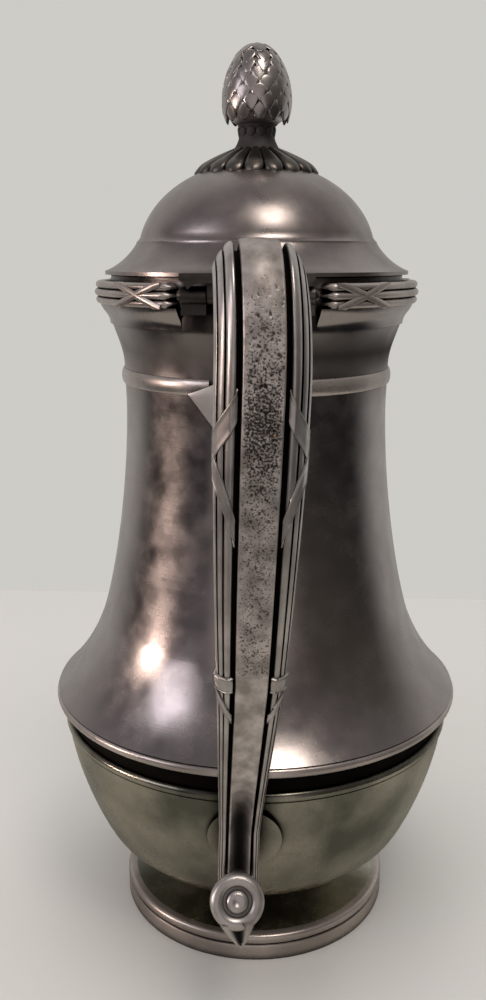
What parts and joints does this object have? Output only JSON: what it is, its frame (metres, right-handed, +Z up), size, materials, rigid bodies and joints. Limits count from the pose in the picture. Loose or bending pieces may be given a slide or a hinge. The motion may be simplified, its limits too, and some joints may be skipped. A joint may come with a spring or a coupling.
{
  "type": "coffee pot",
  "caption": "Baluster-shaped silver-plated coffee pot on a spreading foot, with a hinged domed lid, pine cone finial, reeded loop handle and swan-neck spout.",
  "frame": {"origin": "centre of the plane that the foot rests on, on the body's axis", "axes": "+Z up the body's axis from the foot to the finial; the handle is towards -Y and the spout towards +Y; the hinge pin lies along X"},
  "size_m": [0.116, 0.1689, 0.2423],
  "materials": {
    "neck_silver": "tarnished, softly polished",
    "bowl_silver": "tarnished, softly polished",
    "moulding_silver": "tarnished, rubbed bright on the edges",
    "lid_silver": "tarnished, softly polished",
    "finial_silver": "cast, dark in the hollows",
    "handle_silver": "cast, rubbed bright, dark in the grooves",
    "strap_silver": "cast, pitted and worn",
    "hinge_silver": "dull, tarnished",
    "fixing_brass": "dull"
  },
  "bodies": {
    "pot": {"body": "neck_silver", "bowl": "bowl_silver", "shoulder_bead": "moulding_silver", "bowl_bead": "moulding_silver", "neck_ring": "moulding_silver", "rim_band": "moulding_silver", "rim_cove": "neck_silver", "foot": "bowl_silver", "foot_edge": "moulding_silver", "handle": "handle_silver", "handle_strap": "strap_silver", "upper_plate": "handle_silver", "lower_plate": "bowl_silver", "scroll_end": "handle_silver", "scroll_boss": "handle_silver", "spout_socket": "moulding_silver", "spout": "neck_silver", "spout_lip": "moulding_silver", "hinge_seat": "hinge_silver", "hinge_pin": "hinge_silver"},
    "lid": {"lid_cover": "lid_silver", "lid_bezel": "hinge_silver", "hinge_leaf": "hinge_silver", "petal_collar": "finial_silver", "finial": "finial_silver", "finial_stud": "fixing_brass", "finial_washer": "fixing_brass", "finial_nut": "fixing_brass"}
  },
  "joints": [
    {"name": "lid_hinge", "type": "hinge", "parent": "pot", "child": "lid", "pos_m": [0, -0.04145, 0.1804], "axis": [1, 0, 0], "range_deg": [0, 95]}
  ]
}
